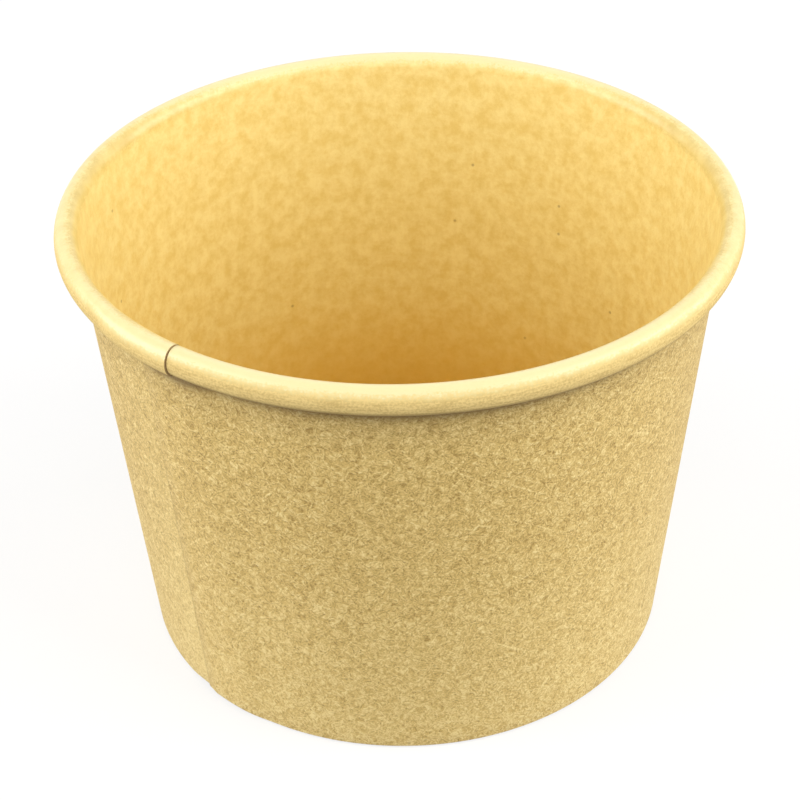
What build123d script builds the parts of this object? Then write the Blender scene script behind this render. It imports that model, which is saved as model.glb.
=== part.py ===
from build123d import *
from math import asin, atan2, cos, degrees, hypot, radians, sin, tan
import os

# A disposable soup cup of coated paper board, standing on its hem.
# Millimetres, +Z up, origin on the table at the centre of the cup.
# The cup is two pieces of board. The side wall is a fan-shaped blank bent into a cone, its
# two ends lapped and sealed. Its top edge is rolled outwards as the rim, and its foot is
# folded inwards and up as a hem. The base is a disc with its edge turned down as a skirt,
# which stands between the wall and the hem.

# Cup
rim_diameter = 90.0         # over the rolled rim
cup_height = 63.4           # table to the top of the rim
base_diameter = 73.1        # over the foot of the wall
board = 0.40                # thickness of the coated board

# Rolled rim, an oval of four arcs
roll_width = 3.1
roll_height = 3.9
crown_radius = 1.35         # top and bottom arcs, tighter than the two side arcs
tuck_gap = 0.03             # between the tucked-in edge and the outside of the wall
tuck_turn = 50              # degrees the edge curls on from the lowest point of the roll

# Side seam
seam_angle = 221.2          # degrees from +X to the free edge on the outside
seam_lap = 7.9              # width of the lap just under the rim
seam_ramp = 1.8             # length over which a layer settles beside the lap
seam_swell = 0.12           # what the second layer adds to the radius of the roll

# Hem and base
hem_height = 6.2            # table to the raw edge of the hem
base_recess = 7.2           # table to the underside of the disc
skirt_bend = 0.85           # outer radius where the disc turns down
skirt_lift = 0.10           # between the foot of the skirt and the two layers of board below it
seal_gap = 0.02             # between the skirt and the board on each side of it

# The roll's side arcs follow from its size and its crown
roll_center_height = cup_height - roll_height / 2
crown_drop = roll_height / 2 - crown_radius
side_radius = (crown_drop ** 2 + (roll_width / 2) ** 2 - crown_radius ** 2) / (roll_width - 2 * crown_radius)
side_turn = degrees(atan2(crown_drop, side_radius - roll_width / 2))

# The wall's coated face rises from its foot and just touches the inner side arc of the roll
foot_radius = base_diameter / 2 - board
wall_run = rim_diameter / 2 - roll_width + side_radius - foot_radius
wall_slope = degrees(atan2(roll_center_height, wall_run)
                     + asin(side_radius / hypot(wall_run, roll_center_height)))
lean = radians(90 - wall_slope)

# The seam keeps to the straight lines of the cone, so its lap is an angle
lap_radius = rim_diameter / 2 - roll_width + board
lap_sweep = degrees(seam_lap / lap_radius)
ramp_sweep = degrees(seam_ramp / lap_radius)


def wall_radius(height, depth=0):
    # Radius of the wall at a height, at a depth below its coated inner face
    return foot_radius + height * tan(lean) + depth / cos(lean)


def rolled_rim(wall_top, depth, swell, crown, tuck):
    # Clockwise arcs from the top of the wall over the crown to the tucked-in edge
    side = side_radius + swell - depth
    arcs = [JernArc(wall_top, (cos(radians(wall_slope)), sin(radians(wall_slope))), side,
                    90 - side_turn - wall_slope)]
    for radius, turn in ((crown, 180 - 2 * side_turn), (side, 2 * side_turn),
                         (crown, 90 - side_turn), (tuck, tuck_turn)):
        arcs.append(JernArc(arcs[-1] @ 1, arcs[-1] % 1, radius, -turn))
    return arcs


def folded_line(corners, crease):
    # Straight runs of board, sharp inside a fold and round outside it
    return FilletPolyline(*corners, radius=crease) if crease else Polyline(*corners)


def sheet_line(depth, layers, crease=0):
    # Section of the wall at a depth below its coated face, from the raw edge of the hem to the
    # tucked-in edge of the rim. At the seam two layers share the fold and fatten the roll.
    swell = seam_swell * (layers - 1)
    side = side_radius + swell
    side_center = wall_radius(roll_center_height) + side / cos(lean)
    wall_top = (side_center - (side - depth) * cos(lean),
                roll_center_height + (side - depth) * sin(lean))

    # The tucked-in edge curls as wide as the roll and the outside of the wall allow
    half_width = roll_width / 2 + swell
    half_height = roll_height / 2 + swell
    room = (half_width - layers * board) * cos(lean) + half_height * sin(lean) - tuck_gap
    tuck = room / (1 + sin(lean))

    # The hem stands a skirt's width inside the wall
    fold_width = board + 2 * seal_gap + depth
    floor = layers * board - depth
    raw_edge = hem_height + depth * sin(lean)
    upright = folded_line(((wall_radius(raw_edge, -fold_width), raw_edge),
                           (wall_radius(floor, -fold_width), floor),
                           (wall_radius(floor, depth), floor), wall_top), crease)
    arcs = rolled_rim(wall_top, depth, swell, crown_radius + swell - depth, tuck - depth)
    return Wire(upright.edges() + [arc.edge() for arc in arcs])


def skirt_line(depth, crease=0):
    # Section of the base at a depth below its coated face, from the axis to the skirt's foot
    top = base_recess + board - depth
    foot = 2 * board + skirt_lift + depth * sin(lean)
    inset = -seal_gap - depth
    return folded_line(((0, top), (wall_radius(top, inset), top), (wall_radius(foot, inset), foot)), crease)


def section(coated_face, outer_face):
    # The board between two such lines, standing in the XZ plane
    ends = [Line(coated_face @ 0, outer_face @ 0), Line(coated_face @ 1, outer_face @ 1)]
    return Plane.XZ * make_face(coated_face.edges() + outer_face.edges() + [end.edge() for end in ends])


def turned(face, start, sweep):
    # A section swept round the cup's axis from one azimuth over an angle
    return Rot(0, 0, start) * revolve(face, Axis.Z, revolution_arc=sweep)


def settling(face_a, angle_a, face_b, angle_b):
    # A short straight run of board from one section to the other
    return loft([Rot(0, 0, angle_a) * face_a, Rot(0, 0, angle_b) * face_b], ruled=True)


def side_wall():
    single = section(sheet_line(0, 1), sheet_line(board, 1, board))
    lap_inner = section(sheet_line(0, 2), sheet_line(board, 2, board))
    lap_outer = section(sheet_line(board, 2), sheet_line(2 * board, 2, 2 * board))
    lap_both = section(sheet_line(0, 2), sheet_line(2 * board, 2, 2 * board))

    # The lap, a layer settling on each side of it, and the single board the rest of the way
    lap_end = seam_angle + lap_sweep
    lap = turned(lap_both, seam_angle, lap_sweep)
    inner_run = settling(single, seam_angle - ramp_sweep, lap_inner, seam_angle)
    outer_run = settling(lap_outer, lap_end, single, lap_end + ramp_sweep)
    plain = turned(single, lap_end + ramp_sweep, 360 - lap_sweep - 2 * ramp_sweep)
    return plain + inner_run + lap + outer_run


def base():
    return turned(section(skirt_line(0, skirt_bend), skirt_line(board)), 0, 360)


os.makedirs("parts", exist_ok=True)
export_step(side_wall(), "parts/side_wall.step")
export_step(base(), "parts/base.step")
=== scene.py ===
import bpy
from math import asin, atan2, cos, degrees, hypot, pi, radians, sin, tan
from mathutils import Matrix, Vector


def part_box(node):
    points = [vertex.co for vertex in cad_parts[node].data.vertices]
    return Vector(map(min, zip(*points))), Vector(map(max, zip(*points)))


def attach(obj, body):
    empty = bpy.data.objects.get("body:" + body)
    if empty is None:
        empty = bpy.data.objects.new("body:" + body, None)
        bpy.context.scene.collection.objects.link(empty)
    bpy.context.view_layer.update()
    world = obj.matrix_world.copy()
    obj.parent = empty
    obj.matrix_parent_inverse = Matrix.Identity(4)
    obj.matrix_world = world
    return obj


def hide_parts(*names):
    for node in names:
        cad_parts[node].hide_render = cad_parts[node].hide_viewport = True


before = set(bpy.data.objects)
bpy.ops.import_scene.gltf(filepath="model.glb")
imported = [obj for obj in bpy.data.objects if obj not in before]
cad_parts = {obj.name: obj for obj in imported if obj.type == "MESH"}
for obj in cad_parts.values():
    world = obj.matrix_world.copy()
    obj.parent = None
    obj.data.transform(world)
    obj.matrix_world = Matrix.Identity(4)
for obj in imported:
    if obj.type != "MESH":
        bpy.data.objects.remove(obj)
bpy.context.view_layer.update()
print("frame:", sorted(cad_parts))

# A disposable soup cup of kraft board. Its two pieces of board, the side wall and the base,
# are made again as sheets with a coated face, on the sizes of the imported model.

wall = {
    "footWidth": 0.0731,        # over the foot of the wall
    "board": 0.0004,            # thickness, also of the base
    "rollWidth": 0.0031,
    "rollHeight": 0.0039,
    "crownRadius": 0.00135,     # top and bottom arcs of the roll
    "tuckGap": 0.00003,         # between the tucked edge and the outside of the wall
    "tuckTurn": 50,             # degrees the edge curls on from the bottom of the roll
    "hemHeight": 0.0062,
    "crease": 0.00006,          # inside radius of the hem's two corners
    "seamAngle": 221.2,         # free edge on the outside, degrees from +X
    "seamLap": 0.0079,          # width of the lap just under the rim
    "seamRamp": 0.006,          # over which a layer settles beside the lap
    "seamSwell": 0.00012,       # what the second layer adds to the radius of the roll
    "layerGap": 0.00001,        # between the two layers of the lap
    "groove": 0.00016,          # beside the edge of the lap, over the roll
    "grooveFade": 0.003,        # height below the roll over which the groove narrows
    "grooveDepth": 0.0008,      # points this far outside the wall are on the roll
    "evenAgain": 12,            # degrees past the ramp over which the columns even out
    "skive": 3.0,               # degrees over which the outer free edge thins out
    "skivedTo": 0.12,           # share of the thickness left at that edge
    "skiveFade": 0.003,         # height below the roll over which the thinning starts
    "skiveDepth": 0.0009,       # both layers of the lap lie within this depth
    "hemRows": 4,
    "foldRows": 6,
    "wallRows": 24,
    "rollRows": (4, 16, 10, 8, 7),  # inner side, crown, outer side, underside and tucked edge
    "columnWidth": 1.0,         # degrees
    "bridgeCuts": 7,
}

base = {
    "recess": 0.0072,           # table to the underside of the disc
    "bend": 0.00085,            # outer radius where the disc turns down
    "skirtLift": 0.0001,        # over the two layers of board at the foot
    "sealGap": 0.00002,         # on each side of the skirt
    "discRows": 12,
    "bendRows": 10,
    "skirtRows": 5,
    "columns": 300,
}


def wallLine():
    # the coated face rises from the foot and touches the inner side arc of the roll
    low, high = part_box("side_wall")
    rimRadius = (high[0] - low[0]) / 2
    centerHeight = high[2] - wall["seamSwell"] - wall["rollHeight"] / 2
    crownDrop = wall["rollHeight"] / 2 - wall["crownRadius"]
    side = (crownDrop ** 2 + (wall["rollWidth"] / 2) ** 2 - wall["crownRadius"] ** 2) / (
        wall["rollWidth"] - 2 * wall["crownRadius"])
    foot = wall["footWidth"] / 2 - wall["board"]
    run = rimRadius - wall["rollWidth"] + side - foot
    lean = pi / 2 - atan2(centerHeight, run) - asin(side / hypot(run, centerHeight))
    return {"foot": foot, "lean": lean, "centerHeight": centerHeight, "side": side,
            "sideTurn": atan2(crownDrop, side - wall["rollWidth"] / 2),
            "rollFoot": centerHeight + side * sin(lean),    # where the wall bends into the roll
            "lapRadius": rimRadius - wall["rollWidth"] + wall["board"]}


line = wallLine()
lapSweep = degrees(wall["seamLap"] / line["lapRadius"])
rampSweep = degrees(wall["seamRamp"] / line["lapRadius"])
lapEnd = wall["seamAngle"] + lapSweep


def wallRadius(height, depth=0.0):
    # radius of the wall at a height, at a depth outside its coated face
    return line["foot"] + height * tan(line["lean"]) + depth / cos(line["lean"])


def wallSpot(reach, turn):
    # the wall is cut as a fan, whose rays are the straight lines of the cone
    ray = line["foot"] / sin(line["lean"]) - wall["hemHeight"] - wall["board"] + reach
    angle = (turn - pi) * sin(line["lean"])
    return ray * sin(angle), ray * cos(angle)


def discSpot(reach, turn):
    return reach * cos(turn), reach * sin(turn)


def rollStart():
    # how far from the fan's centre the wall bends into the roll, after the hem, the fold and the wall
    upright = wall["hemHeight"] + line["rollFoot"] - wall["board"] + 2 * base["sealGap"]
    return Vector(wallSpot(upright / cos(line["lean"]), pi)).length


rollRay = rollStart()

# Materials, in metres on the flat blank that each piece is cut to. A pair of values is a span
# over which something grows from 0 to 1, and two more values are its amounts at the span's ends.
# A noise has its size, detail and roughness. The base's disc is a small blank round its own
# centre, so only the wall has long rays.

kraft = {
    "dark": (0.41, 0.256, 0.062, 1),
    "middle": (0.72, 0.503, 0.162, 1),
    "light": (0.97, 0.77, 0.34, 1),
    "paintedShade": (0.16, 0.095, 0.03, 1),        # painted shade, on the wall below the roll
    "toMiddle": (0.98, 1.45),               # sum of the noises, from dark to middle
    "toLight": (1.45, 1.92),
    "sway": (0.0011, 1.0, 0.5),             # the noise that bends the fibres, and how far
    "swayReach": 0.0009,
    "fibre": (0.0015, 0.00022),             # length and width
    "fibreLayers": ((8, 0), (51, 11), (97, 23), (142, 37)),     # degrees, and a shift in the noise
    "fine": (0.00027, 1.0, 0.6),
    "fineShare": 0.6,
    "mottle": (0.004, 3.0, 0.55),
    "mottleShare": 0.25,
    "scratches": ((0.008, 0.0005, 24, 71), (0.006, 0.0005, 118, 93)),   # length, width, degrees, shift
    "scratchCut": (0.8, 0.86),
    "scratchShare": 0.22,
    "wallFrom": 0.1,                        # shortest ray of the wall's blank
    "footLight": (0.025, 0.06, 0.0, 0.17),      # painted light, growing down the wall towards its foot
    "seamShown": (0.008, 0.045, 0.25, 1.0),     # down the wall as well
    "seamLight": (0.009, 0.0, 0.0, 0.3),       # painted light beside the lap
    "lapEdgeShade": (0.003, 0.0, 0.0, 0.2),    # painted shade along the edge of the lap
    # a dark line at the edge of the lap, partly painted shadow of its step
    "seamLine": (0.0007, 0.0002, 0.0, 0.22),
    "speckCell": 0.009,
    "speckSize": 0.0003,
    "speckShare": 0.55,
    "closeShade": (0.0053, 0.0036),         # painted shade, up the wall into the gap below the roll
    "closeShadeShare": 0.62,
    "wideShade": (0.0096, 0.0036, 0.0, 0.2),
    "roughness": 0.8,
    "bumpHeight": 0.00007,
    "constants": {"Specular IOR Level": 0.3, "Sheen Weight": 0.15, "Sheen Roughness": 0.5},
}

coated = {
    "dark": (0.83, 0.615, 0.19, 1),
    "light": (0.94, 0.765, 0.31, 1),
    "depthShade": (0.79, 0.49, 0.07, 1),          # painted shade, towards the bottom of the cup
    "crease": (0.64, 0.465, 0.13, 1),       # painted shade where the wall bends into the roll
    "crown": (0.87, 0.755, 0.39, 1),        # painted highlight on the crown of the roll
    "underDark": (0.67, 0.475, 0.17, 1),    # outer half of the roll, with the fibres showing through, darkened partly as painted shade
    "under": (0.86, 0.645, 0.26, 1),
    "paintedShade": (0.20, 0.12, 0.04, 1),         # painted shade on the underside of the roll
    "speck": (0.34, 0.21, 0.07, 1),
    "cloud": (0.0023, 4.0, 0.7),
    "cloudCut": (0.33, 0.67),
    "fine": (0.0006, 2.0, 0.5),
    "grit": (0.0003, 1.0, 0.5),
    "lines": (0.0003, 2.0, 0.6),            # lines along the rim, and what draws them out
    "lineStretch": 0.08,
    "speckCell": 0.013,
    "speckSize": 0.0003,
    "speckShare": 0.6,
    "uneven": 0.0007,                       # how far the bands' edges wander
    "shadedSides": (-0.6, 0.7),               # two opposite sides of the rim, which get most of the painted crease shade
    "shadedSideHighlightLater": 0.0014,               # the painted highlight on the crown starts further out there, and is duller
    "shadedSideHighlightDuller": (0.0, 1.0, 1.0, 0.5),
    "patches": (0.0025, 1.0, 0.5),          # of the painted crease shade
    "patchCut": (0.35, 0.65, 0.35, 0.6),
    "creaseIn": (-0.0004, 0.0003),          # bands along the wall's blank, from the roll's start
    "creaseOut": (0.0024, 0.0017),
    "crownIn": (0.0006, 0.0015),
    "crownOut": (0.0047, 0.0035),
    "underIn": (0.0036, 0.0047),
    "underTones": (0.36, 0.6),
    "paintedShadeIn": (0.0062, 0.0072, 0.0, 0.95),
    "depthShadeOut": (-0.054, -0.036, 0.8, 0.0),
    "onWall": (0.05, 0.1, 0.35, 1.0),       # less of the painted shade on the base
    "fineBump": 0.25,
    "gritBump": 0.15,
    "coat": 0.6,
    "roughness": 0.45,
    "underRoughness": 0.85,
    "bumpHeight": 0.00008,
    "constants": {"Specular IOR Level": 0.3, "Coat Roughness": 0.3, "Coat IOR": 1.5},
}

# the cut board's own kraft brown, darkened as painted shade for the groove at the seam
cutEdge = {
    "dark": (0.26, 0.16, 0.06, 1),
    "light": (0.46, 0.32, 0.14, 1),
    "fine": (0.0002, 2.0, 0.6),
    "roughness": 0.9,
    "bumpHeight": 0.00002,
    "constants": {},
}


def addNode(tree, kind, inputs=None, **settings):
    node = tree.nodes.new("ShaderNode" + kind)
    for key, value in settings.items():
        setattr(node, key, value)
    for key, value in (inputs or {}).items():
        if isinstance(value, bpy.types.NodeSocket):
            tree.links.new(value, node.inputs[key])
        else:
            node.inputs[key].default_value = value
    return node


def calc(tree, operation, first, second=0.0):
    return addNode(tree, "Math", {0: first, 1: second}, operation=operation).outputs[0]


def plus(tree, first, second):
    return calc(tree, "ADD", first, second)


def times(tree, first, second):
    return calc(tree, "MULTIPLY", first, second)


def vector(tree, operation, first, second):
    slot = "Scale" if operation == "SCALE" else 1
    return addNode(tree, "VectorMath", {0: first, slot: second}, operation=operation).outputs[0]


def measure(tree, operation, place, *other):
    # the length of a place on the blank, or its distance from a line through the centre
    return addNode(tree, "VectorMath", dict(enumerate((place, *other))), operation=operation).outputs["Value"]


def remap(tree, value, low, high, toLow=0.0, toHigh=1.0):
    return addNode(tree, "MapRange", {"Value": value, "From Min": low, "From Max": high,
                                      "To Min": toLow, "To Max": toHigh}).outputs["Result"]


def blend(tree, amount, first, second):
    return addNode(tree, "Mix", {0: amount, 6: first, 7: second}, data_type="RGBA").outputs[2]


def noise(tree, place, size, detail, roughness, output="Fac"):
    return addNode(tree, "TexNoise", {"Vector": place, "Scale": 1 / size, "Detail": detail,
                                      "Roughness": roughness}, noise_dimensions="2D").outputs[output]


def fibres(tree, place, length, width, angle, shift):
    # a noise stretched along one direction
    turned = addNode(tree, "VectorRotate", {"Vector": place, "Angle": radians(angle)},
                     rotation_type="Z_AXIS").outputs[0]
    squeezed = vector(tree, "MULTIPLY", turned, (1 / length, 1 / width, 0))
    return noise(tree, vector(tree, "ADD", squeezed, (shift, 0, 0)), 1.0, 0.0, 0.5)


def specks(tree, place, look):
    # a dark speck in two of every five cells of a loose mosaic
    cells = addNode(tree, "TexVoronoi", {"Vector": place, "Scale": 1 / look["speckCell"]},
                    voronoi_dimensions="2D")
    chance = addNode(tree, "SeparateColor", {"Color": cells.outputs["Color"]}).outputs[0]
    size = look["speckSize"] / look["speckCell"]
    spot = remap(tree, cells.outputs["Distance"], size, 0.4 * size)
    return times(tree, times(tree, spot, calc(tree, "GREATER_THAN", chance, 0.6)), look["speckShare"])


def newTree(name):
    material = bpy.data.materials.new(name)
    material.use_nodes = True
    material.node_tree.nodes.clear()
    place = addNode(material.node_tree, "UVMap", uv_map="blank").outputs["UV"]
    return material, material.node_tree, place


def finishShader(tree, color, height, look):
    bump = addNode(tree, "Bump", {"Height": height, "Strength": 1.0, "Distance": look["bumpHeight"]})
    shader = addNode(tree, "BsdfPrincipled", {"Base Color": color, "Normal": bump.outputs[0],
                                              "Roughness": look["roughness"]})
    for name, value in look["constants"].items():
        shader.inputs[name].default_value = value
    addNode(tree, "OutputMaterial", {"Surface": shader.outputs[0]})
    return shader


def kraftMaterial():
    material, tree, place = newTree("kraft_board")

    # layers of fibres that sway a little, over fine grain and soft mottling
    sway = noise(tree, place, *kraft["sway"], output="Color")
    sway = vector(tree, "SCALE", vector(tree, "SUBTRACT", sway, (0.5, 0.5, 0.5)), kraft["swayReach"])
    bent = vector(tree, "ADD", place, sway)
    layers = [fibres(tree, bent, *kraft["fibre"], *layer) for layer in kraft["fibreLayers"]]
    above = below = layers[0]
    for layer in layers[1:]:
        above = calc(tree, "MAXIMUM", above, layer)
        below = calc(tree, "MINIMUM", below, layer)
    fine = noise(tree, place, *kraft["fine"])
    pulp = plus(tree, plus(tree, above, below), times(tree, fine, kraft["fineShare"]))
    mottle = noise(tree, place, *kraft["mottle"])
    tone = plus(tree, pulp, times(tree, mottle, kraft["mottleShare"]))

    # a few long light scratches
    scratch = calc(tree, "MAXIMUM", *(remap(tree, fibres(tree, place, *mark), *kraft["scratchCut"])
                                      for mark in kraft["scratches"]))
    tone = plus(tree, tone, times(tree, scratch, kraft["scratchShare"]))

    # painted light, growing down the wall towards its foot
    ray = measure(tree, "LENGTH", place)
    downWall = calc(tree, "SUBTRACT", rollRay, ray)
    onWall = calc(tree, "GREATER_THAN", ray, kraft["wallFrom"])
    tone = plus(tree, tone, times(tree, remap(tree, downWall, *kraft["footLight"]), onWall))
    color = blend(tree, remap(tree, tone, *kraft["toMiddle"]), kraft["dark"], kraft["middle"])
    color = blend(tree, remap(tree, tone, *kraft["toLight"]), color, kraft["light"])

    # painted shade and a dark line along the outer edge of the lap, painted light on the board beside it
    halfFan = pi * sin(line["lean"])
    inside = measure(tree, "DOT_PRODUCT", place, (cos(halfFan), sin(halfFan), 0))
    beside = measure(tree, "DOT_PRODUCT", place, (-cos(halfFan), sin(halfFan), 0))
    shown = times(tree, remap(tree, downWall, *kraft["seamShown"]), onWall)
    seamLight = times(tree, remap(tree, beside, *kraft["seamLight"]), shown)
    color = blend(tree, seamLight, color, kraft["light"])
    edgeShadeAndLine = plus(tree, remap(tree, inside, *kraft["lapEdgeShade"]), remap(tree, inside, *kraft["seamLine"]))
    seamShadeAndSpecks = calc(tree, "MAXIMUM", times(tree, edgeShadeAndLine, shown), specks(tree, place, kraft))
    color = blend(tree, seamShadeAndSpecks, color, kraft["dark"])

    # painted shade on the wall, in the gap below the roll and a little further down
    close = remap(tree, downWall, *kraft["closeShade"])
    paintedShade = times(tree, times(tree, close, close), kraft["closeShadeShare"])
    paintedShade = plus(tree, paintedShade, remap(tree, downWall, *kraft["wideShade"]))
    color = blend(tree, paintedShade, color, kraft["paintedShade"])
    finishShader(tree, color, pulp, kraft)
    return material


def coatedMaterial():
    material, tree, place = newTree("coated_board")
    cloud = noise(tree, place, *coated["cloud"])
    fine = noise(tree, place, *coated["fine"])
    grit = noise(tree, place, *coated["grit"])
    color = blend(tree, remap(tree, cloud, *coated["cloudCut"]), coated["dark"], coated["light"])
    color = blend(tree, specks(tree, place, coated), color, coated["speck"])

    # how far a place is past the roll's start, plain and with uneven edges, with lines along the rim
    ray = measure(tree, "LENGTH", place)
    fromRoll = calc(tree, "SUBTRACT", ray, rollRay)
    parts = addNode(tree, "SeparateXYZ", {0: place}).outputs
    fanAngle = calc(tree, "ARCTAN2", parts[0], parts[1])
    aside = times(tree, times(tree, fanAngle, rollRay), coated["lineStretch"])
    around = addNode(tree, "CombineXYZ", {0: aside, 1: ray}).outputs[0]
    lines = noise(tree, around, *coated["lines"])
    uneven = calc(tree, "SUBTRACT", plus(tree, plus(tree, fine, grit), lines), 1.5)     # each is near 0.5
    along = plus(tree, fromRoll, times(tree, uneven, coated["uneven"]))

    # painted shade in the crease inside the roll, strongest at two opposite sides, where the painted
    # highlight on the crown is dull
    swing = times(tree, fanAngle, 2 / sin(line["lean"]))
    swing = calc(tree, "COSINE", plus(tree, swing, 2 * radians(wall["seamAngle"])))
    shadedSide = remap(tree, swing, *coated["shadedSides"])
    patches = remap(tree, noise(tree, place, *coated["patches"]), *coated["patchCut"])
    crease = times(tree, remap(tree, along, *coated["creaseIn"]), remap(tree, along, *coated["creaseOut"]))
    crease = times(tree, times(tree, crease, patches), shadedSide)

    # painted highlight on the crown, and on the outer half of the roll a tan with fibres, partly painted
    # shade
    crownPlace = calc(tree, "SUBTRACT", along, times(tree, shadedSide, coated["shadedSideHighlightLater"]))
    crown = times(tree, remap(tree, crownPlace, *coated["crownIn"]), remap(tree, along, *coated["crownOut"]))
    crown = times(tree, crown, remap(tree, shadedSide, *coated["shadedSideHighlightDuller"]))
    under = remap(tree, along, *coated["underIn"])
    fibreTone = plus(tree, times(tree, grit, 0.5), times(tree, lines, 0.5))
    outerHalf = blend(tree, remap(tree, fibreTone, *coated["underTones"]), coated["underDark"],
                      coated["under"])

    # painted shade, deeper towards the bottom of the cup
    depthShade = times(tree, remap(tree, fromRoll, *coated["depthShadeOut"]), remap(tree, ray, *coated["onWall"]))
    color = blend(tree, depthShade, color, coated["depthShade"])
    color = blend(tree, crease, color, coated["crease"])
    color = blend(tree, crown, color, coated["crown"])
    color = blend(tree, under, color, outerHalf)
    # painted shade on the underside of the roll
    color = blend(tree, remap(tree, fromRoll, *coated["paintedShadeIn"]), color, coated["paintedShade"])
    height = plus(tree, cloud, times(tree, fine, coated["fineBump"]))
    height = plus(tree, height, times(tree, grit, coated["gritBump"]))
    shader = finishShader(tree, color, height, coated)
    tree.links.new(remap(tree, under, 0, 1, coated["coat"], 0), shader.inputs["Coat Weight"])
    tree.links.new(remap(tree, under, 0, 1, coated["roughness"], coated["underRoughness"]),
                   shader.inputs["Roughness"])
    return material


def edgeMaterial():
    material, tree, place = newTree("cut_edge")
    fine = noise(tree, place, *cutEdge["fine"])
    finishShader(tree, blend(tree, fine, cutEdge["dark"], cutEdge["light"]), fine, cutEdge)
    return material


boardSides = [coatedMaterial(), kraftMaterial(), edgeMaterial()]
print("materials made")


columnSlack = 0.01          # degrees within which a point belongs to a column
mergeDistance = 0.000001
smoothAngle = 40            # degrees between faces that still shade as one


def azimuth(point):
    return degrees(atan2(point.co.y, point.co.x))


# A section is drawn as a chain of points, pulled out along runs and spun round arcs.
# The pen keeps where the chain has come to and its heading, an angle from +X in the XZ plane.

def startLine(name, x, z):
    bpy.ops.object.select_all(action="DESELECT")
    bpy.ops.mesh.primitive_plane_add(size=wall["board"], location=(x, 0, z))
    sketch = bpy.context.object
    sketch.name = sketch.data.name = name
    bpy.ops.object.transform_apply(location=True, rotation=False, scale=False)
    bpy.ops.object.mode_set(mode="EDIT")
    bpy.ops.mesh.select_all(action="SELECT")
    bpy.ops.mesh.merge(type="CENTER")
    return {"sketch": sketch, "x": x, "z": z, "heading": 0.0}


def drawRun(pen, x, z, rows):
    step = ((x - pen["x"]) / rows, 0, (z - pen["z"]) / rows)
    for _ in range(rows):
        bpy.ops.mesh.extrude_vertices_move(TRANSFORM_OT_translate={"value": step})
    pen.update(x=x, z=z, heading=atan2(step[2], step[0]))


def drawArc(pen, radius, turn, rows):
    # a positive turn is counter-clockwise, seen from the front
    toCenter = pen["heading"] + (pi / 2 if turn > 0 else -pi / 2)
    centerX = pen["x"] + radius * cos(toCenter)
    centerZ = pen["z"] + radius * sin(toCenter)
    bpy.ops.mesh.spin(steps=rows, angle=turn, center=(centerX, 0, centerZ), axis=(0, 1, 0))
    pen.update(x=centerX - radius * cos(toCenter + turn), z=centerZ - radius * sin(toCenter + turn),
               heading=pen["heading"] + turn)


def finishLine(pen):
    # each point keeps how far along the board it lies, from the line's first point
    bpy.ops.object.mode_set(mode="OBJECT")
    sketch = pen["sketch"]
    points = sketch.data.vertices
    beside = {point.index: [] for point in points}
    for edge in sketch.data.edges:
        first, second = edge.vertices
        beside[first].append(second)
        beside[second].append(first)
    reach = sketch.data.attributes.new("reach", "FLOAT", "POINT")
    tip = Vector((pen["x"], 0, pen["z"]))
    here = max((index for index in beside if len(beside[index]) == 1),
               key=lambda index: (points[index].co - tip).length)
    last, length = None, 0.0
    while here is not None:
        reach.data[here].value = length
        onward = [index for index in beside[here] if index != last]
        last, here = here, onward[0] if onward else None
        if here is not None:
            length += (points[here].co - points[last].co).length
    return sketch


def sweepSheet(sketch, start, sweep, columns, begin=0.0):
    # swings the section round the cup from one azimuth; each point keeps its turn on the blank
    bpy.ops.object.mode_set(mode="EDIT")
    bpy.ops.mesh.select_all(action="SELECT")
    bpy.ops.mesh.spin(steps=columns, angle=-radians(sweep), center=(0, 0, 0), axis=(0, 0, 1))
    bpy.ops.object.mode_set(mode="OBJECT")
    turn = sketch.data.attributes.new("turn", "FLOAT", "POINT")
    for point in sketch.data.vertices:
        turn.data[point.index].value = (azimuth(point) + columnSlack) % 360 - columnSlack + begin
    sketch.rotation_euler[2] = radians(start)
    bpy.ops.object.transform_apply(location=False, rotation=True, scale=False)


def drawLayer(name, depth, layers):
    # the coated face of one layer of the wall, from the raw edge of the hem to the tucked edge
    lean, sideTurn = line["lean"], line["sideTurn"]
    swell = wall["seamSwell"] * (layers - 1)
    side = line["side"] + swell
    crown = wall["crownRadius"] + swell
    halfWidth = wall["rollWidth"] / 2 + swell
    halfHeight = wall["rollHeight"] / 2 + swell
    topX = wallRadius(line["centerHeight"]) + side / cos(lean) - (side - depth) * cos(lean)
    topZ = line["centerHeight"] + (side - depth) * sin(lean)
    room = (halfWidth - layers * wall["board"]) * cos(lean) + halfHeight * sin(lean)
    tuck = (room - wall["tuckGap"]) / (1 + sin(lean))

    fold = wall["board"] + 2 * base["sealGap"] + depth
    floor = layers * wall["board"] - depth
    bend = wall["crease"] + depth
    rawEdge = wall["hemHeight"] + depth * sin(lean)
    hemCut = bend * tan(pi / 4 + lean / 2)
    wallCut = bend * tan(pi / 4 - lean / 2)

    pen = startLine(name, wallRadius(rawEdge, -fold), rawEdge)
    hemFoot = floor + hemCut * cos(lean)
    drawRun(pen, wallRadius(hemFoot, -fold), hemFoot, wall["hemRows"])
    drawArc(pen, bend, pi / 2 + lean, wall["foldRows"])
    drawRun(pen, wallRadius(floor, depth) - wallCut, floor, 1)
    drawArc(pen, bend, pi / 2 - lean, wall["foldRows"])
    drawRun(pen, topX, topZ, wall["wallRows"])
    arcs = ((side, lean - sideTurn), (crown, 2 * sideTurn - pi), (side, -2 * sideTurn),
            (crown, sideTurn - pi / 2), (tuck, -radians(wall["tuckTurn"])))
    for (radius, turn), rows in zip(arcs, wall["rollRows"]):
        drawArc(pen, radius - depth, turn, rows)
    return finishLine(pen)


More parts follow.
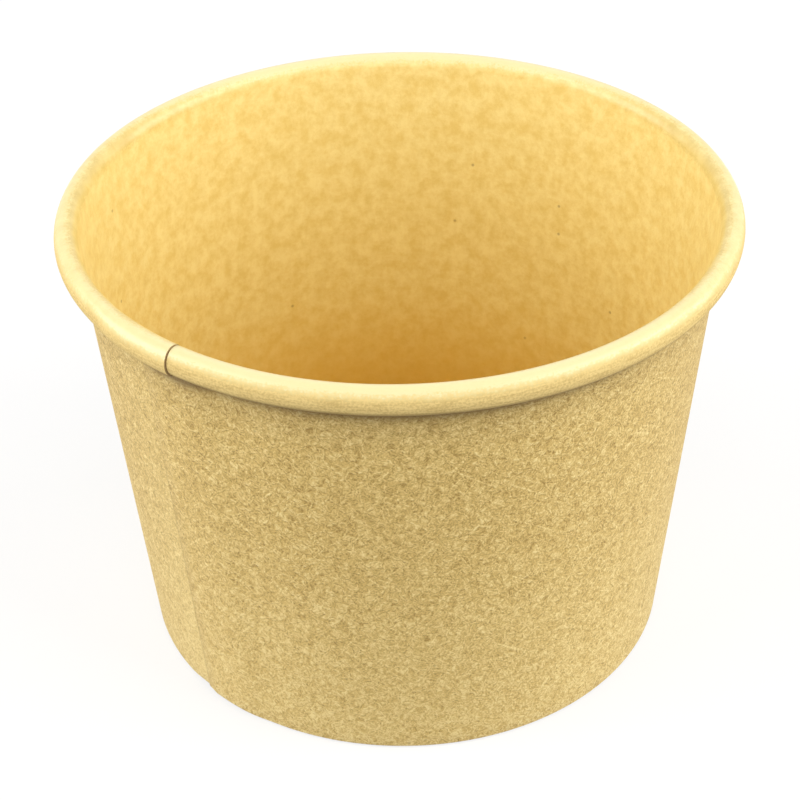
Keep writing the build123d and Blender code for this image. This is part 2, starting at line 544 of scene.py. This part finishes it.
def joinStrip(sheet, sheetAzimuth, strip, stripAzimuth):
    # the sheet settles onto the lap over a short bridge between a column of each
    for mesh, column in ((sheet.data, sheetAzimuth), (strip.data, stripAzimuth)):
        for face in mesh.polygons:
            face.select = False
        for point in mesh.vertices:
            point.select = abs((azimuth(point) - column + 180) % 360 - 180) < columnSlack
        for edge in mesh.edges:
            edge.select = all(mesh.vertices[index].select for index in edge.vertices)
    bpy.ops.object.select_all(action="DESELECT")
    strip.select_set(True)
    sheet.select_set(True)
    bpy.context.view_layer.objects.active = sheet
    bpy.ops.object.join()
    bpy.ops.object.mode_set(mode="EDIT")
    bpy.ops.mesh.select_mode(type="EDGE")
    bpy.ops.mesh.bridge_edge_loops(number_cuts=wall["bridgeCuts"], interpolation="SURFACE", smoothness=1.0)
    bpy.ops.mesh.select_mode(type="VERT")
    bpy.ops.object.mode_set(mode="OBJECT")


def tightenSeam(sheet):
    # over the roll the layer under the lap comes up again right at the edge, as a narrow groove
    groove = degrees(wall["groove"] / line["lapRadius"])
    reachBack = rampSweep + wall["evenAgain"]
    fade = wall["grooveFade"]
    turn = sheet.data.attributes["turn"].data
    for point in sheet.data.vertices:
        past = (azimuth(point) - lapEnd) % 360
        if columnSlack < past < reachBack:
            if past < rampSweep:
                tight = past * groove / rampSweep
            else:
                tight = groove + (past - rampSweep) * (reachBack - groove) / (reachBack - rampSweep)
            onRoll = min(1, max(0, (point.co.z - line["rollFoot"] + fade) / fade))
            if hypot(point.co.x, point.co.y) - wallRadius(point.co.z) > wall["grooveDepth"]:
                onRoll = 1
            shift = (tight - past) * onRoll
            point.co.rotate(Matrix.Rotation(radians(shift), 3, "Z"))
            turn[point.index].value += shift


def finishSheet(sheet, mergeDoubles, probeHeight, coatedWay, blankSpot):
    bpy.ops.object.select_all(action="DESELECT")
    sheet.select_set(True)
    bpy.context.view_layer.objects.active = sheet
    bpy.ops.object.mode_set(mode="EDIT")
    bpy.ops.mesh.select_all(action="SELECT")
    if mergeDoubles:
        bpy.ops.mesh.remove_doubles(threshold=mergeDistance)
    bpy.ops.mesh.normals_make_consistent(inside=False)
    bpy.ops.object.mode_set(mode="OBJECT")

    # the faces have to point to the coated side before the board gets its thickness
    probe = min(sheet.data.polygons, key=lambda face: abs(face.center.z - probeHeight))
    if probe.normal.dot(coatedWay(probe.center)) < 0:
        sheet.data.flip_normals()

    # the UV map is the flat blank
    reach = sheet.data.attributes["reach"].data
    turn = sheet.data.attributes["turn"].data
    blank = sheet.data.uv_layers.new(name="blank")
    for face in sheet.data.polygons:
        for corner, index in zip(face.loop_indices, face.vertices):
            blank.data[corner].uv = blankSpot(reach[index].value, radians(turn[index].value))
    for name in ("reach", "turn"):
        sheet.data.attributes.remove(sheet.data.attributes[name])

    for side in boardSides:
        sheet.data.materials.append(side)
    thick = sheet.modifiers.new("board", "SOLIDIFY")
    thick.thickness = wall["board"]
    thick.offset = -1
    thick.use_even_offset = True
    thick.use_quality_normals = True
    thick.material_offset = 1           # kraft outside, cut_edge all round
    thick.material_offset_rim = 2
    bpy.ops.object.modifier_apply(modifier=thick.name)
    bpy.ops.object.shade_smooth_by_angle(angle=radians(smoothAngle))
    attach(sheet, "root")
    print(sheet.name, len(sheet.data.polygons), "faces")


def thinEdge(sheet):
    # the free edge of the lap is skived, on the wall's outside and under its foot
    outerFace = wall["board"] + wall["layerGap"]
    foldFace = wall["board"] - wall["layerGap"]
    underRoll = line["centerHeight"] - wall["rollHeight"] / 2
    for point in sheet.data.vertices:
        past = (azimuth(point) - wall["seamAngle"] + columnSlack) % 360
        if past > wall["skive"]:
            continue
        keep = wall["skivedTo"] + (1 - wall["skivedTo"]) * past / wall["skive"]
        depth = (hypot(point.co.x, point.co.y) - wallRadius(point.co.z)) * cos(line["lean"])
        if outerFace < depth < wall["skiveDepth"] and point.co.z < underRoll:
            fade = min(1, (underRoll - point.co.z) / wall["skiveFade"])
            inwards = (depth - outerFace) * (1 - keep) * fade
            outwards = Vector((point.co.x, point.co.y, 0)).normalized()
            point.co -= outwards * inwards / cos(line["lean"])
        if point.co.z < foldFace:
            point.co.z += (foldFace - point.co.z) * (1 - keep)


def makeWall():
    plainSweep = 360 - lapSweep - 2 * rampSweep
    plainColumns = round(plainSweep / wall["columnWidth"])
    lapColumns = round(lapSweep / wall["columnWidth"])
    sheet = drawLayer("side_wall_board", 0, 1)
    sweepSheet(sheet, lapEnd + rampSweep, plainSweep, plainColumns, lapSweep + rampSweep)
    inner = drawLayer("inner_layer", 0, 2)
    sweepSheet(inner, wall["seamAngle"], lapSweep, lapColumns, 360)
    outer = drawLayer("outer_layer", wall["board"] + wall["layerGap"], 2)
    sweepSheet(outer, wall["seamAngle"], lapSweep, lapColumns)
    joinStrip(sheet, wall["seamAngle"] - rampSweep, inner, wall["seamAngle"])
    joinStrip(sheet, lapEnd + rampSweep, outer, lapEnd)
    tightenSeam(sheet)
    finishSheet(sheet, False, line["centerHeight"] / 2,
                lambda center: Vector((-center.x, -center.y, 0)), wallSpot)
    thinEdge(sheet)
    return sheet


def makeBase():
    lean = line["lean"]
    top = base["recess"] + wall["board"]
    foot = 2 * wall["board"] + base["skirtLift"]
    cut = base["bend"] * tan(pi / 4 + lean / 2)
    pen = startLine("base_board", 0, top)
    drawRun(pen, wallRadius(top, -base["sealGap"]) - cut, top, base["discRows"])
    drawArc(pen, base["bend"], -(pi / 2 + lean), base["bendRows"])
    drawRun(pen, wallRadius(foot, -base["sealGap"]), foot, base["skirtRows"])
    disc = finishLine(pen)
    sweepSheet(disc, 0, 360, base["columns"])
    finishSheet(disc, True, top, lambda center: Vector((0, 0, 1)), discSpot)
    return disc


sideWall = makeWall()
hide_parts("side_wall")
cupBase = makeBase()
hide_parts("base")
print("cup made")


# floor, lights and camera

stage = {
    "floorSize": 4.0,
    "floorHeight": -0.0001,
    "floorColor": (0.3, 0.3, 0.3, 1),
    "floorGlow": 0.7,           # seen by the camera alone, so the open floor comes out white
    "sky": 0.41,                # what the sky gives to the cup; the camera sees it at 1
    "aim": (0, 0, 0.035),
    "panels": (                 # name, place, width, height and watts
        ("left_panel", (-0.55, -0.25, 0.5), 0.5, 0.5, 1.85),
        ("right_panel", (0.55, -0.25, 0.5), 0.5, 0.5, 2.4),
        ("left_low_panel", (-0.7, 0, 0.22), 0.5, 0.4, 2.35),
        ("right_low_panel", (0.7, 0, 0.22), 0.5, 0.4, 2.25),
        ("front_panel", (0, -0.72, 0.3), 0.8, 0.4, 1.35),
        ("high_panel", (0, -0.56, 0.74), 0.25, 0.2, 0.3),
        ("back_panel", (0, 0.6, 0.55), 1.2, 0.35, 1.0),
    ),
}

view = {
    "place": (0, -0.23657, 0.19650),
    "target": (-0.00042, 0, 0.03112),
    "roll": -1.25,              # degrees
    "sensor": 36,
    "lens": 93.0,
    "clip": (0.01, 20),
}


def seenDirectly(tree):
    path = addNode(tree, "LightPath")
    straight = calc(tree, "MAXIMUM", path.outputs["Is Camera Ray"], path.outputs["Is Glossy Ray"])
    return calc(tree, "MAXIMUM", straight, path.outputs["Is Transmission Ray"])


def makeFloor():
    bpy.ops.object.select_all(action="DESELECT")
    bpy.ops.mesh.primitive_plane_add(size=stage["floorSize"], location=(0, 0, stage["floorHeight"]))
    floor = bpy.context.object
    floor.name = "floor"
    material = bpy.data.materials.new("pale_floor")
    material.use_nodes = True
    tree = material.node_tree
    tree.nodes.clear()
    diffuse = addNode(tree, "BsdfDiffuse", {"Color": stage["floorColor"]})
    glow = addNode(tree, "Emission", {"Strength": times(tree, seenDirectly(tree), stage["floorGlow"])})
    both = addNode(tree, "AddShader", {0: diffuse.outputs[0], 1: glow.outputs[0]})
    addNode(tree, "OutputMaterial", {"Surface": both.outputs[0]})
    floor.data.materials.append(material)


def makeSky():
    world = bpy.data.worlds.new("studio")
    bpy.context.scene.world = world
    world.use_nodes = True
    tree = world.node_tree
    tree.nodes.clear()
    strength = addNode(tree, "Mix", {0: seenDirectly(tree), 2: stage["sky"], 3: 1.0}, data_type="FLOAT")
    background = addNode(tree, "Background", {"Strength": strength.outputs[0], "Color": (1, 1, 1, 1)})
    addNode(tree, "OutputWorld", {"Surface": background.outputs[0]})


def addPanel(name, place, width, height, power):
    lamp = bpy.data.lights.new(name, "AREA")
    lamp.shape = "RECTANGLE"
    lamp.size, lamp.size_y = width, height
    lamp.energy = power
    panel = bpy.data.objects.new(name, lamp)
    bpy.context.collection.objects.link(panel)
    panel.location = place
    ahead = Vector(stage["aim"]) - Vector(place)
    panel.rotation_euler = ahead.to_track_quat("-Z", "Y").to_euler()
    panel.visible_camera = False


def makeCamera():
    place, roll = Vector(view["place"]), radians(view["roll"])
    ahead = (Vector(view["target"]) - place).normalized()
    right = ahead.cross(Vector((0, 0, 1))).normalized()
    up = right.cross(ahead)
    turnedRight = right * cos(roll) + up * sin(roll)
    turnedUp = up * cos(roll) - right * sin(roll)
    camera = bpy.data.objects.new("camera", bpy.data.cameras.new("camera"))
    bpy.context.collection.objects.link(camera)
    camera.data.sensor_width = view["sensor"]
    camera.data.lens = view["lens"]
    camera.data.clip_start, camera.data.clip_end = view["clip"]
    facing = Matrix((turnedRight, turnedUp, -ahead)).transposed().to_4x4()
    camera.matrix_world = Matrix.Translation(place) @ facing
    bpy.context.scene.camera = camera


makeFloor()
makeSky()
for panel in stage["panels"]:
    addPanel(*panel)
makeCamera()
bpy.context.scene.view_settings.view_transform = "Standard"
print("stage made")
